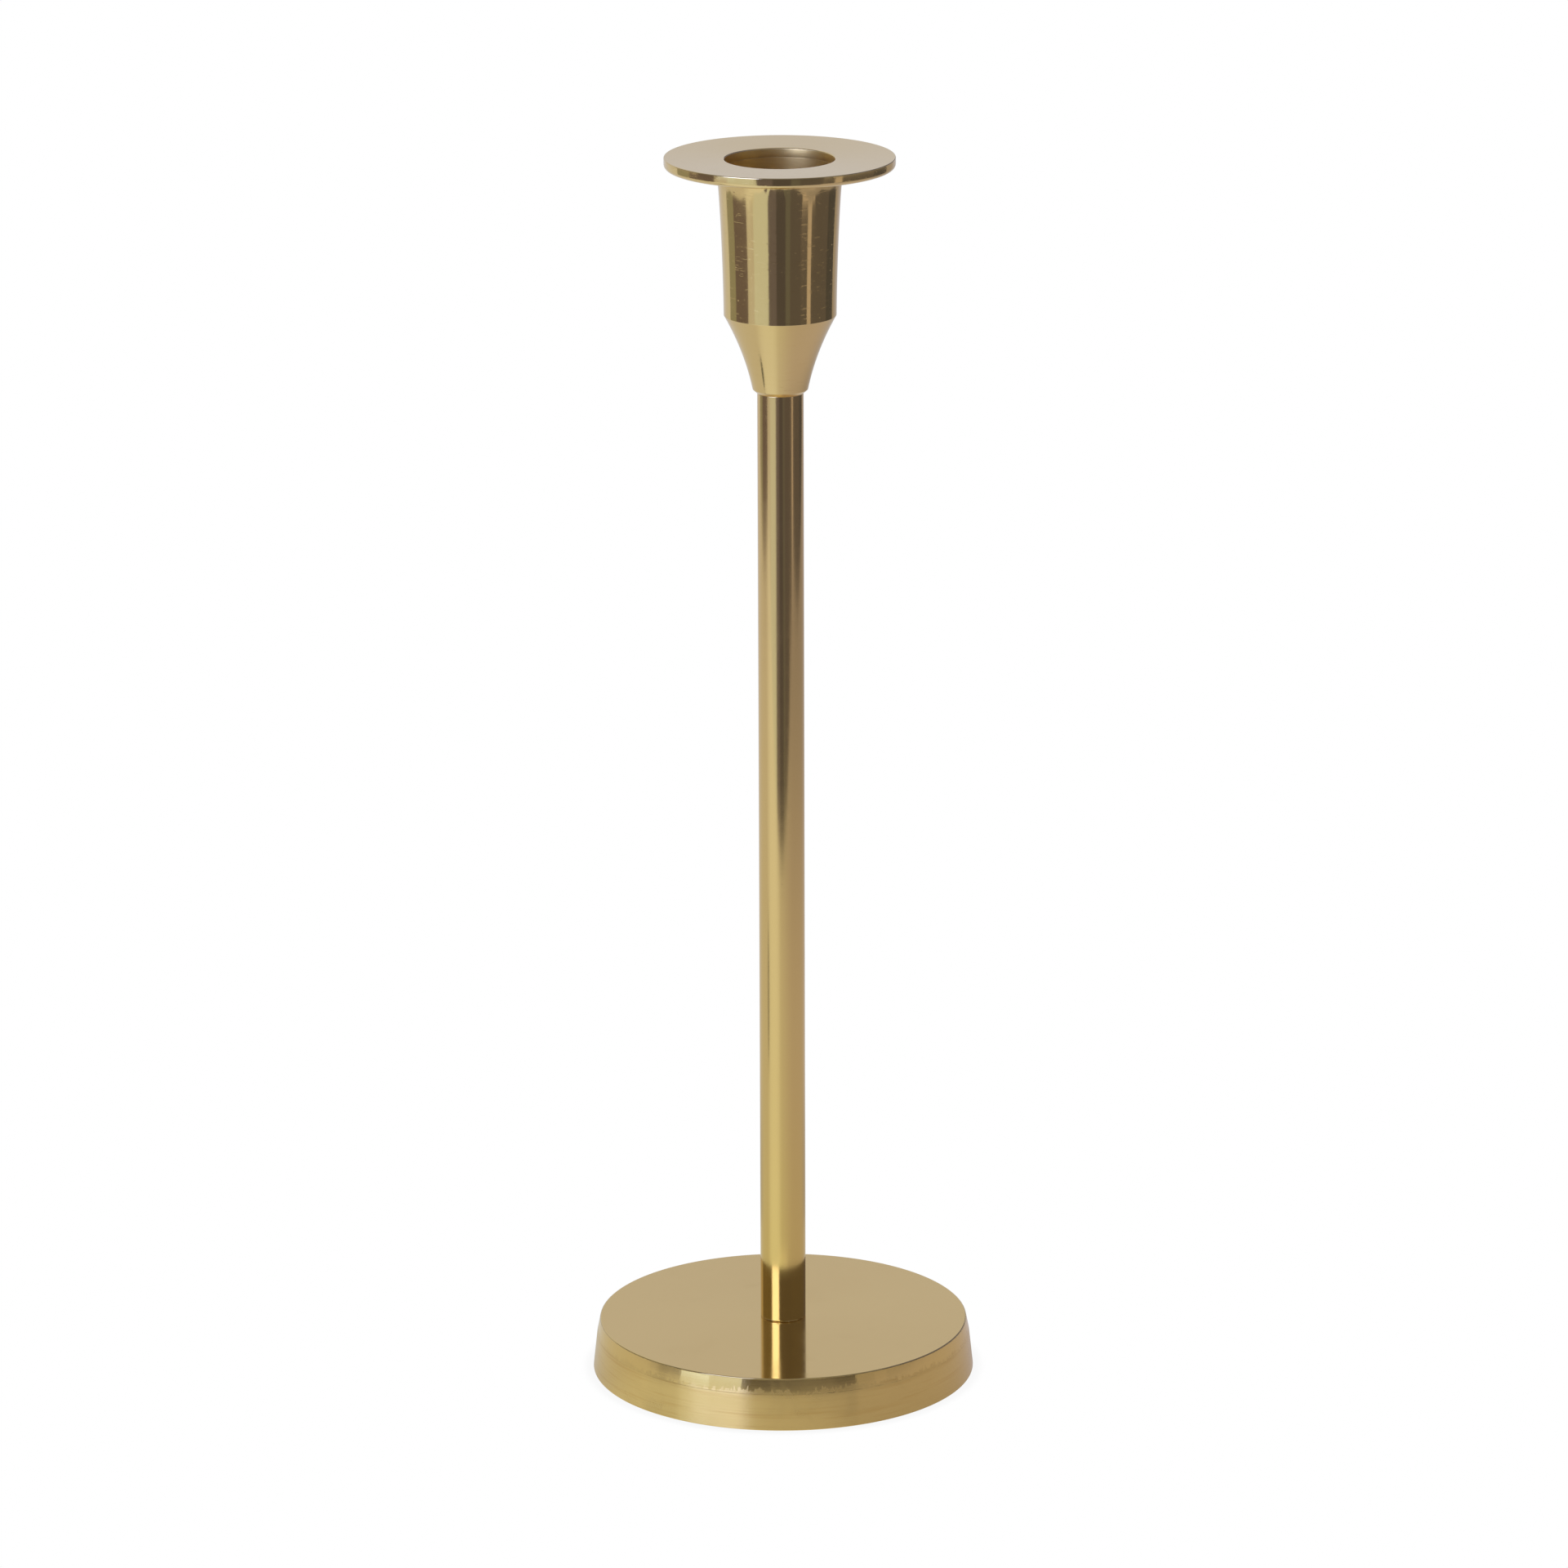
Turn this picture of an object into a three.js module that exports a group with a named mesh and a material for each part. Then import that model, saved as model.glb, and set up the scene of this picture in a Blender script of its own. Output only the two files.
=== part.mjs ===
// Brass candlestick: a turned base, a tubular stem and a candle cup with a drip plate,
// drawn together by one threaded rod that ends in a nut under the base.
// Millimetres, +Z up, origin on the axis in the plane that the candlestick stands on.

import * as THREE from 'three';

// Whole object
const overallHeight = 260;
const gap = 0.3; // between faceted round pieces that sit one inside the other

// Candle cup: a slightly flared barrel over a hollow-sided cone, one turned piece
const candleDiameter = 22; // the standard dinner candle that the socket takes
const mouthRadius = candleDiameter / 2 + 0.16;
const socketDepth = 28; // from the drip plate's top to the socket's floor
const socketFloorRadius = 10; // the socket narrows, so that a candle jams in it
const barrelTopRadius = 12.77;
const barrelFootRadius = 11.5;
const barrelFoot = 227.4; // height where the barrel turns into the cone
const barrelHollow = 0.22; // how far its side bows inwards at the middle
const coneFootRadius = 5.7;
const coneFoot = 211.9;
const coneHollow = 0.67; // how far its side bows inwards at the middle
const cupFoot = 211.2; // underside of the cup, on the stem
const cupFootRadius = 5.1;

// Drip plate: a dished ring brazed on the barrel's end
const plateRadius = 23.55;
const plateThickness = 2.25;
const plateDish = 0.4; // the mouth is this much lower than the rim
const plateEdge = 0.4; // rounding of the rim and the mouth

// Stem tube
const stemRadius = 4.75;
const stemWall = 1;
const stemChamfer = 0.2;

// Base: a disc with a recess under it, and a spigot that centres the stem
const baseHeight = 11;
const baseFootRadius = 40.25;
const baseDraft = THREE.MathUtils.degToRad(6.3);
const crownStart = 7.9; // the side bends inwards from this height up
const crownEndRadius = 38.72;
const baseEdge = 0.3;
const recessRadius = 30;
const recessCeiling = 7;
const recessFillet = 1.5;
const spigotLength = 3; // on the base and on the cup alike

// Felt ring, let into the rim's underside
const feltThickness = 1.2;
const feltProud = 0.1; // how far it stands out below the rim
const rimLip = 2; // brass left outside the felt

// M5 rod and its hardware
const threadRadius = 2.5;
const rodRadius = 2.2; // shank of a rolled-thread rod
const rodEngagement = 14.8; // rod inside the cup, from the cup's underside up to its end
const tapSpare = 1; // depth of the tapped hole past the rod's end
const clearanceHole = 2.75;
const washer = { radius: 7.5, bore: 2.65, thickness: 1.2 };
const lockWasher = { radius: 4.6, bore: 2.55, thickness: 1.2, split: 0.9 };
const nut = { acrossFlats: 8, thickness: 2.7 };
const rodOverhang = 0.7; // rod showing below the nut

// Faceting
const facets = 64;
const smallFacets = 40;
const curveSteps = 4; // straight steps in each curved stretch of an outline

const brass = () => new THREE.MeshStandardMaterial({ color: 0xc8a866, roughness: 0.22, metalness: 1 });
const steel = () => new THREE.MeshStandardMaterial({ color: 0xb4b6b8, roughness: 0.35, metalness: 1 });
const felt = () => new THREE.MeshStandardMaterial({ color: 0x26352b, roughness: 1, metalness: 0 });

const candlestick = new THREE.Group();

function addPiece(name, geometry, material) {
  const piece = new THREE.Mesh(geometry, material);
  piece.name = name;
  candlestick.add(piece);
}

// A piece turned round the Z axis. The outline is drawn with x as radius and y as height,
// anticlockwise, and closes on itself.
function turned(name, outline, material, count = facets) {
  outline.closePath();
  const geometry = new THREE.LatheGeometry(outline.getPoints(curveSteps), count);
  addPiece(name, geometry.rotateX(Math.PI / 2), material);
}

// Draws on to a point along a curve that bows towards the axis by hollow at its middle
function bowTo(outline, radius, height, hollow) {
  const from = outline.currentPoint;
  const controlRadius = (from.x + radius) / 2 - 2 * hollow;
  outline.quadraticCurveTo(controlRadius, (from.y + height) / 2, radius, height);
}

// A flat ring with square edges
function ringOutline(bore, radius, bottom, top) {
  const outline = new THREE.Path();
  outline.moveTo(bore, bottom);
  outline.lineTo(radius, bottom);
  outline.lineTo(radius, top);
  outline.lineTo(bore, top);
  return outline;
}

function addBase() {
  const rim = feltProud;
  const seat = feltThickness;
  const feltOuter = baseFootRadius - rimLip;
  const crownRadius = baseFootRadius - (crownStart - rim) * Math.tan(baseDraft);
  const crownRise = (baseHeight - crownStart) * 0.64;
  const spigotRadius = stemRadius - stemWall - gap;
  const spigotTop = baseHeight + spigotLength;

  const outline = new THREE.Path();
  outline.moveTo(clearanceHole, recessCeiling);
  outline.lineTo(recessRadius - 2 * recessFillet, recessCeiling);
  outline.quadraticCurveTo(recessRadius, recessCeiling, recessRadius, recessCeiling - recessFillet);
  outline.lineTo(recessRadius, seat);
  outline.lineTo(feltOuter, seat);
  outline.lineTo(feltOuter, rim);
  outline.lineTo(baseFootRadius - baseEdge, rim);
  outline.lineTo(baseFootRadius, rim + baseEdge);
  outline.lineTo(crownRadius, crownStart);
  outline.quadraticCurveTo(
    crownRadius - crownRise * Math.tan(baseDraft), crownStart + crownRise,
    crownEndRadius, baseHeight - baseEdge * 0.7,
  );
  outline.quadraticCurveTo(
    crownEndRadius - baseEdge * 0.3, baseHeight,
    crownEndRadius - baseEdge, baseHeight,
  );
  outline.lineTo(spigotRadius, baseHeight);
  outline.lineTo(spigotRadius, spigotTop);
  outline.lineTo(clearanceHole, spigotTop);
  turned('base', outline, brass());
}

function addFeltRing() {
  const outline = ringOutline(recessRadius + gap, baseFootRadius - rimLip - gap, 0, feltThickness);
  turned('felt_ring', outline, felt());
}

function addStem() {
  const bore = stemRadius - stemWall;
  const outline = new THREE.Path();
  outline.moveTo(bore, baseHeight);
  outline.lineTo(stemRadius - stemChamfer, baseHeight);
  outline.lineTo(stemRadius, baseHeight + stemChamfer);
  outline.lineTo(stemRadius, cupFoot - stemChamfer);
  outline.lineTo(stemRadius - stemChamfer, cupFoot);
  outline.lineTo(bore, cupFoot);
  turned('stem_tube', outline, brass(), smallFacets);
}

function addCup() {
  const floor = overallHeight - socketDepth;
  const barrelTop = overallHeight - plateThickness;
  const spigotRadius = stemRadius - stemWall - gap;
  const tapEnd = cupFoot + rodEngagement + tapSpare;

  const outline = new THREE.Path();
  outline.moveTo(0, tapEnd);
  outline.lineTo(threadRadius, tapEnd);
  outline.lineTo(threadRadius, cupFoot - spigotLength);
  outline.lineTo(spigotRadius, cupFoot - spigotLength);
  outline.lineTo(spigotRadius, cupFoot);
  outline.lineTo(cupFootRadius, cupFoot);
  outline.lineTo(coneFootRadius, coneFoot);
  bowTo(outline, barrelFootRadius, barrelFoot, coneHollow);
  bowTo(outline, barrelTopRadius, barrelTop, barrelHollow);
  outline.lineTo(mouthRadius, barrelTop);
  outline.lineTo(socketFloorRadius, floor);
  outline.lineTo(0, floor);
  turned('candle_cup', outline, brass());
}

function addDripPlate() {
  const underside = overallHeight - plateThickness;
  const mouthTop = overallHeight - plateDish;

  const outline = new THREE.Path();
  outline.moveTo(mouthRadius, underside);
  outline.lineTo(plateRadius - plateEdge, underside);
  outline.lineTo(plateRadius, underside + plateEdge);
  outline.lineTo(plateRadius, overallHeight - plateEdge);
  outline.lineTo(plateRadius - plateEdge, overallHeight);
  outline.lineTo(mouthRadius + plateEdge, mouthTop);
  outline.lineTo(mouthRadius, mouthTop - plateEdge);
  turned('drip_plate', outline, brass());
}

// The stack under the base, from the recess's ceiling down: washer, lock washer, nut
const washerBottom = recessCeiling - washer.thickness;
const lockWasherBottom = washerBottom - lockWasher.thickness;
const nutBottom = lockWasherBottom - nut.thickness;

function addRod() {
  const bottom = nutBottom - rodOverhang;
  const top = cupFoot + rodEngagement;
  const chamfer = 0.5;
  const outline = new THREE.Path();
  outline.moveTo(0, bottom);
  outline.lineTo(rodRadius - chamfer, bottom);
  outline.lineTo(rodRadius, bottom + chamfer);
  outline.lineTo(rodRadius, top - chamfer);
  outline.lineTo(rodRadius - chamfer, top);
  outline.lineTo(0, top);
  turned('tie_rod', outline, steel(), smallFacets);
}

function addFlatWasher() {
  const outline = ringOutline(washer.bore, washer.radius, washerBottom, recessCeiling);
  turned('flat_washer', outline, steel(), smallFacets);
}

// A spring washer: one turn with a narrow split at +X
function addLockWasher() {
  const outerHalf = Math.asin(lockWasher.split / 2 / lockWasher.radius);
  const innerHalf = Math.asin(lockWasher.split / 2 / lockWasher.bore);
  const shape = new THREE.Shape();
  shape.absarc(0, 0, lockWasher.radius, outerHalf, 2 * Math.PI - outerHalf, false);
  shape.absarc(0, 0, lockWasher.bore, 2 * Math.PI - innerHalf, innerHalf, true);
  shape.closePath();
  const geometry = new THREE.ExtrudeGeometry(shape, {
    depth: lockWasher.thickness, bevelEnabled: false, curveSegments: smallFacets / 2,
  });
  addPiece('lock_washer', geometry.translate(0, 0, lockWasherBottom), steel());
}

function addNut() {
  const corner = nut.acrossFlats / 2 / Math.cos(Math.PI / 6);
  const shape = new THREE.Shape();
  for (let side = 0; side < 6; side += 1) {
    const turn = side * Math.PI / 3;
    const draw = side === 0 ? 'moveTo' : 'lineTo';
    shape[draw](corner * Math.cos(turn), corner * Math.sin(turn));
  }
  shape.closePath();
  const hole = new THREE.Path();
  hole.absarc(0, 0, threadRadius, 0, 2 * Math.PI, true);
  shape.holes.push(hole);
  const geometry = new THREE.ExtrudeGeometry(shape, {
    depth: nut.thickness, bevelEnabled: false, curveSegments: smallFacets / 2,
  });
  addPiece('hex_nut', geometry.translate(0, 0, nutBottom), steel());
}

addBase();
addFeltRing();
addStem();
addCup();
addDripPlate();
addRod();
addFlatWasher();
addLockWasher();
addNut();

export default candlestick;
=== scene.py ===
import math

import bmesh
import bpy
from mathutils import Matrix, Vector, noise


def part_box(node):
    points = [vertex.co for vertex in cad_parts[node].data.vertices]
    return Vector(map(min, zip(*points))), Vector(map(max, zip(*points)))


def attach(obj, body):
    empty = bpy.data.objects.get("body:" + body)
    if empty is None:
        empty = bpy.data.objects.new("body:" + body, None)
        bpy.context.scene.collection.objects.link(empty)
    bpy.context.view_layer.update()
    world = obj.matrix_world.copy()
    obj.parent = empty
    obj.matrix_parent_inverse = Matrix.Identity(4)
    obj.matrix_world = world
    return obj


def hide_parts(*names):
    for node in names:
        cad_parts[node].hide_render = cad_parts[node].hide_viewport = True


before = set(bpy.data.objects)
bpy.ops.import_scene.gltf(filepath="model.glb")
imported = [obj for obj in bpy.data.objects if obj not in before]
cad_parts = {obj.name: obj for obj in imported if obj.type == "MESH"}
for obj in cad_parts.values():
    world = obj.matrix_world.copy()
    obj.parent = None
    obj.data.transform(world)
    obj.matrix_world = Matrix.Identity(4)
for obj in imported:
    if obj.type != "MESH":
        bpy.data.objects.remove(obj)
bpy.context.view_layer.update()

mm = 0.001
print("frame loaded")

# where the frame puts things, all on the Z axis
baseLow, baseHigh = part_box("base")
stemLow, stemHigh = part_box("stem_tube")
cupLow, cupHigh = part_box("candle_cup")
plateLow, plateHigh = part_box("drip_plate")
feltLow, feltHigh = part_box("felt_ring")
rodLow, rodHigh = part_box("tie_rod")
washerLow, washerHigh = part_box("flat_washer")
lockLow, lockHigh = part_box("lock_washer")
nutLow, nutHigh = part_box("hex_nut")


# camera

cameraSetup = {
    "distance": 1.4363,      # in front of the axis
    "height": 0.5347,
    "sideways": 0.0005,
    "pitch": 0.276,          # looking down, in radians
    "roll": math.radians(-0.17),
    "lens": 165.15,
}


def placeCamera():
    setup = cameraSetup
    data = bpy.data.cameras.new("studioCamera")
    data.lens = setup["lens"]
    data.clip_end = 30
    camera = bpy.data.objects.new("studioCamera", data)
    bpy.context.scene.collection.objects.link(camera)
    camera.location = (setup["sideways"], -setup["distance"], setup["height"])
    tilt = Matrix.Rotation(math.pi / 2 - setup["pitch"], 3, "X")
    camera.rotation_euler = (tilt @ Matrix.Rotation(setup["roll"], 3, "Z")).to_euler()
    bpy.context.scene.camera = camera


placeCamera()


# node helpers

def addNode(tree, kind, sockets=None, **settings):
    made = tree.nodes.new(kind)
    for name, value in settings.items():
        setattr(made, name, value)
    for name, value in (sockets or {}).items():
        if isinstance(value, bpy.types.NodeSocket):
            tree.links.new(value, made.inputs[name])
        else:
            made.inputs[name].default_value = value
    return made


def calc(tree, operation, first, second=0.0, third=0.0):
    made = addNode(tree, "ShaderNodeMath", {0: first, 1: second, 2: third}, operation=operation)
    return made.outputs[0]


def mixColor(tree, amount, first, second):
    made = addNode(tree, "ShaderNodeMix", {0: amount, 6: first, 7: second}, data_type="RGBA")
    return made.outputs[2]


def startGroup(name, inputs, outputs):
    group = bpy.data.node_groups.new(name, "ShaderNodeTree")
    for socketName, kind, value in inputs:
        socket = group.interface.new_socket(socketName, in_out="INPUT", socket_type="NodeSocket" + kind)
        if value is not None:
            socket.default_value = value
    for socketName, kind in outputs:
        group.interface.new_socket(socketName, in_out="OUTPUT", socket_type="NodeSocket" + kind)
    return group, group.nodes.new("NodeGroupInput").outputs, group.nodes.new("NodeGroupOutput").inputs


# Fine rings that a lathe tool or an abrasive pad leaves round the axis. Each ring fades in and
# out on its way round, so the noise runs slowly round the axis and fast across it.
def buildTurnedRings():
    group, given, result = startGroup(
        "turnedRings",
        [("Place", "Vector", None), ("Pitch", "Float", 0.35 * mm), ("Reach", "Float", 25 * mm)],
        [("Height", "Float"), ("Streak", "Float"), ("Score", "Float")],
    )
    place = addNode(group, "ShaderNodeSeparateXYZ", {0: given["Place"]}).outputs
    out = calc(group, "SQRT", calc(group, "ADD", calc(group, "MULTIPLY", place[0], place[0]),
                                   calc(group, "MULTIPLY", place[1], place[1])))
    across = calc(group, "DIVIDE", calc(group, "ADD", out, place[2]), given["Pitch"])
    spread = addNode(group, "ShaderNodeCombineXYZ", {
        "X": calc(group, "DIVIDE", place[0], given["Reach"]),
        "Y": calc(group, "DIVIDE", place[1], given["Reach"]),
        "Z": across,
    }).outputs[0]
    fine = addNode(group, "ShaderNodeTexNoise", {"Vector": spread, "Scale": 1.0, "Detail": 2.0})
    slow = addNode(group, "ShaderNodeTexNoise", {"Vector": spread, "Scale": 0.23, "Detail": 1.0})
    group.links.new(calc(group, "MULTIPLY_ADD", slow.outputs[0], 0.5, fine.outputs[0]), result["Height"])
    group.links.new(slow.outputs[0], result["Streak"])
    score = addNode(group, "ShaderNodeMapRange", {
        "Value": fine.outputs[0], "From Min": 0.62, "From Max": 0.72,
    }, interpolation_type="SMOOTHSTEP")
    group.links.new(score.outputs[0], result["Score"])
    return group


# Fine lines along the axis, as a drawn or lengthwise-polished tube has
def buildDrawnLines():
    group, given, result = startGroup(
        "drawnLines",
        [("Place", "Vector", None), ("Pitch", "Float", 0.3 * mm), ("Reach", "Float", 60 * mm)],
        [("Height", "Float")],
    )
    place = addNode(group, "ShaderNodeSeparateXYZ", {0: given["Place"]}).outputs
    spread = addNode(group, "ShaderNodeCombineXYZ", {
        "X": calc(group, "DIVIDE", place[0], given["Pitch"]),
        "Y": calc(group, "DIVIDE", place[1], given["Pitch"]),
        "Z": calc(group, "DIVIDE", place[2], given["Reach"]),
    }).outputs[0]
    lines = addNode(group, "ShaderNodeTexNoise", {"Vector": spread, "Scale": 1.0, "Detail": 2.0})
    group.links.new(lines.outputs[0], result["Height"])
    return group


# Slow unevenness of a hand-polished surface, and the cloudy change of tone that lacquered
# brass gets from handling
def buildHandFinish():
    group, given, result = startGroup(
        "handFinish",
        [("Place", "Vector", None), ("Wave", "Float", 9 * mm), ("Cloud", "Float", 28 * mm)],
        [("Height", "Float"), ("Cloud", "Float"), ("Smudge", "Float")],
    )
    wave = addNode(group, "ShaderNodeTexNoise", {
        "Vector": given["Place"], "Scale": calc(group, "DIVIDE", 1.0, given["Wave"]), "Detail": 1.0,
    })
    cloud = addNode(group, "ShaderNodeTexNoise", {
        "Vector": given["Place"], "Scale": calc(group, "DIVIDE", 1.0, given["Cloud"]),
        "Detail": 4.0, "Roughness": 0.6,
    })
    smudge = addNode(group, "ShaderNodeTexNoise", {
        "Vector": given["Place"], "Scale": calc(group, "DIVIDE", 2.7, given["Cloud"]),
        "Detail": 3.0, "Distortion": 0.8,
    })
    smudgeMask = addNode(group, "ShaderNodeMapRange", {
        "Value": smudge.outputs[0], "From Min": 0.52, "From Max": 0.72,
    }, interpolation_type="SMOOTHSTEP")
    group.links.new(wave.outputs[0], result["Height"])
    group.links.new(cloud.outputs[0], result["Cloud"])
    group.links.new(smudgeMask.outputs[0], result["Smudge"])
    return group


# Sparse small pits and nicks
def buildPits():
    group, given, result = startGroup(
        "pits",
        [("Place", "Vector", None), ("Spacing", "Float", 1.6 * mm), ("Share", "Float", 0.2)],
        [("Height", "Float"), ("Mask", "Float")],
    )
    cells = addNode(group, "ShaderNodeTexVoronoi", {
        "Vector": given["Place"], "Scale": calc(group, "DIVIDE", 1.0, given["Spacing"]), "Randomness": 1.0,
    })
    tone = addNode(group, "ShaderNodeSeparateColor", {0: cells.outputs["Color"]}).outputs
    chosen = calc(group, "LESS_THAN", tone[0], given["Share"])
    size = calc(group, "MULTIPLY_ADD", tone[1], 0.12, 0.05)
    dip = addNode(group, "ShaderNodeMapRange", {
        "Value": cells.outputs["Distance"], "From Min": size, "From Max": 0.0, "To Max": 1.0,
    }, interpolation_type="SMOOTHSTEP").outputs[0]
    mask = calc(group, "MULTIPLY", dip, chosen)
    group.links.new(calc(group, "MULTIPLY", mask, -1.0), result["Height"])
    group.links.new(mask, result["Mask"])
    return group


turnedRings = buildTurnedRings()
drawnLines = buildDrawnLines()
handFinish = buildHandFinish()
pits = buildPits()


def useGroup(tree, group, sockets):
    made = addNode(tree, "ShaderNodeGroup", node_tree=group)
    for name, value in sockets.items():
        if isinstance(value, bpy.types.NodeSocket):
            tree.links.new(value, made.inputs[name])
        else:
            made.inputs[name].default_value = value
    return made.outputs


def startMaterial(name):
    material = bpy.data.materials.new(name)
    material.use_nodes = True
    tree = material.node_tree
    return material, tree, tree.nodes["Principled BSDF"]


def bump(tree, height, distance, normal=None):
    sockets = {"Height": height, "Strength": 1.0, "Distance": distance}
    if normal is not None:
        sockets["Normal"] = normal
    return addNode(tree, "ShaderNodeBump", sockets).outputs[0]


# Brass, with one dictionary for each finish. Depths are heights of the relief in metres.
brassFinishes = {
    "baseBrass": {
        "tone": (0.722, 0.522, 0.190, 1), "aged": (0.655, 0.440, 0.142, 1), "worn": (0.80, 0.64, 0.30, 1),
        "roughness": 0.12, "anisotropic": 0.95, "lay": 0.25,
        "brushed": 0.24, "brushedBelow": 8.35 * mm, "streakTone": 0.8,
        "crownTop": 10.8 * mm, "crownPitch": 0.5 * mm, "crownReach": 3 * mm, "crownDepth": 0.0055 * mm,
        "ringPitch": 0.34 * mm, "ringReach": 14 * mm, "ringDepth": 0.0042 * mm, "scoreDepth": 0.0,
        "lineDepth": 0.0, "wave": 9 * mm, "waveDepth": 0.008 * mm, "pitDepth": 0.006 * mm, "pitShare": 0.05,
        "pitSpacing": 1.6 * mm, "pitSquash": 1.0, "smudge": 0.04,
    },
    "stemBrass": {
        "tone": (0.720, 0.530, 0.180, 1), "aged": (0.670, 0.465, 0.142, 1), "worn": (0.80, 0.64, 0.30, 1),
        # painted light: bluer higher up the stem, for the cooler light it reflects there
        "coolerLightAbove": (0.720, 0.530, 0.245, 1), "coolerLightHeights": (25 * mm, 165 * mm),
        "roughness": 0.135, "anisotropic": 0.7, "lay": 0.0, "streakTone": 0.0,
        "ringPitch": 0.5 * mm, "ringReach": 8 * mm, "ringDepth": 0.0004 * mm, "scoreDepth": 0.0,
        "lineDepth": 0.0012 * mm, "wave": 9 * mm, "waveDepth": 0.006 * mm, "pitDepth": 0.004 * mm,
        "pitShare": 0.05, "pitSpacing": 1.6 * mm, "pitSquash": 1.0, "smudge": 0.03,
    },
    "cupBrass": {
        "tone": (0.730, 0.550, 0.238, 1), "aged": (0.670, 0.480, 0.178, 1), "worn": (0.80, 0.65, 0.34, 1),
        "roughness": 0.10, "anisotropic": 0.5, "lay": 0.25, "streakTone": 0.15,
        "ringPitch": 0.45 * mm, "ringReach": 2.5 * mm, "ringDepth": 0.0008 * mm, "scoreDepth": 0.005 * mm,
        "lineDepth": 0.0, "wave": 4 * mm, "waveDepth": 0.010 * mm, "pitDepth": 0.016 * mm, "pitShare": 0.45,
        "pitSpacing": 2.4 * mm, "pitSquash": 2.2, "smudge": 0.04,
    },
    "socketBrass": {
        "tone": (0.800, 0.575, 0.190, 1), "aged": (0.640, 0.420, 0.120, 1), "worn": (0.80, 0.65, 0.34, 1),
        "roughness": 0.42, "anisotropic": 0.0, "lay": 0.25, "streakTone": 0.3,
        "ringPitch": 0.5 * mm, "ringReach": 4 * mm, "ringDepth": 0.006 * mm, "scoreDepth": 0.0,
        "lineDepth": 0.0, "wave": 5 * mm, "waveDepth": 0.03 * mm, "pitDepth": 0.02 * mm, "pitShare": 0.2,
        "pitSpacing": 1.6 * mm, "pitSquash": 1.0, "smudge": 0.08,
    },
}


# The side is brushed up to where the polished crown begins. The border is ragged, in short
# upright strokes on top of a slower wander: pitch along the border, and reach up and down.
borderStrokes = ((0.55 * mm, 4.0 * mm), (5 * mm, 2.0 * mm))
borderHalf = 0.12 * mm


def brushedShare(tree, place, below):
    height = addNode(tree, "ShaderNodeSeparateXYZ", {0: place}).outputs[2]
    for pitch, reach in borderStrokes:
        spread = addNode(tree, "ShaderNodeVectorMath", {0: place, 1: (1 / pitch, 1 / pitch, 0.12 / pitch)},
                         operation="MULTIPLY").outputs[0]
        ragged = addNode(tree, "ShaderNodeTexNoise", {"Vector": spread, "Scale": 1.0, "Detail": 2.0})
        shift = calc(tree, "SUBTRACT", ragged.outputs[0], 0.5)
        height = calc(tree, "MULTIPLY_ADD", shift, reach, height)
    return addNode(tree, "ShaderNodeMapRange", {
        "Value": height, "From Min": below + borderHalf, "From Max": below - borderHalf,
    }, interpolation_type="SMOOTHSTEP").outputs[0]


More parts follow.
